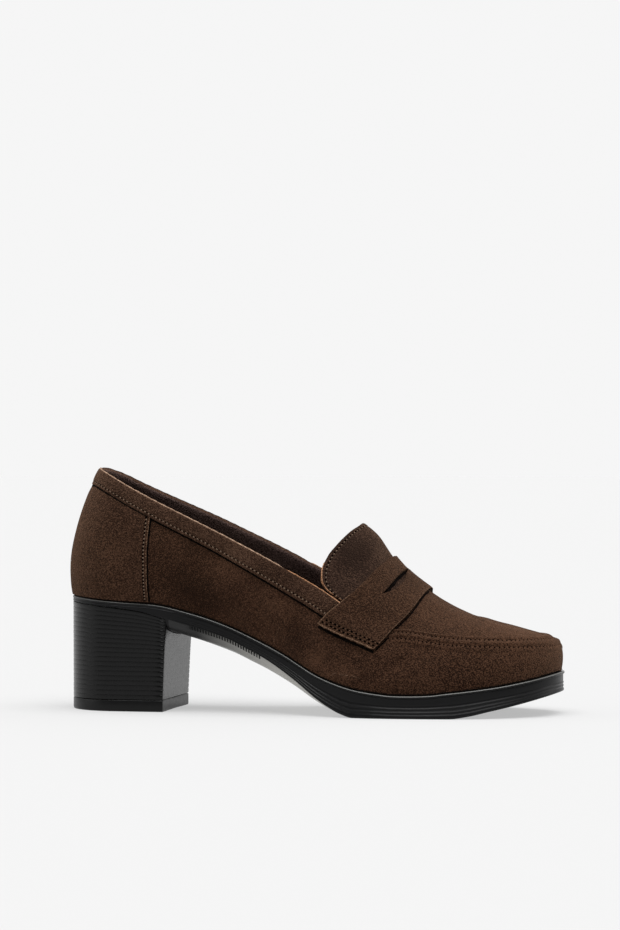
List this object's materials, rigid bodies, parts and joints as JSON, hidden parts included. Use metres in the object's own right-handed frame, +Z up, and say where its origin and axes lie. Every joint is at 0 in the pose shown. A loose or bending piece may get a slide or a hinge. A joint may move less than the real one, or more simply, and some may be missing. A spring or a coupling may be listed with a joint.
{
  "type": "loafer pump",
  "caption": "Right loafer pump with a stacked block heel, moulded platform sole, hollow suede upper, free tongue and a slotted saddle strap.",
  "frame": {"origin": "middle of the bounding box's base, on the floor that the shoe stands on", "axes": "+X towards the toe, +Z up, -Y towards the outer side of the foot"},
  "size_m": [0.244, 0.0852, 0.1187],
  "materials": {
    "suede": "napped, matt",
    "lining": "matt",
    "moulded_sole": "satin",
    "stacked_heel": "satin",
    "heel_lift": "satin"
  },
  "bodies": {
    "root": {"upper": "suede", "tongue": "suede", "saddle_strap": "suede", "collar_band": "suede", "heel_counter": "suede", "insole": "lining", "outsole": "moulded_sole", "heel_block": "stacked_heel", "heel_top_piece": "heel_lift"}
  },
  "joints": []
}
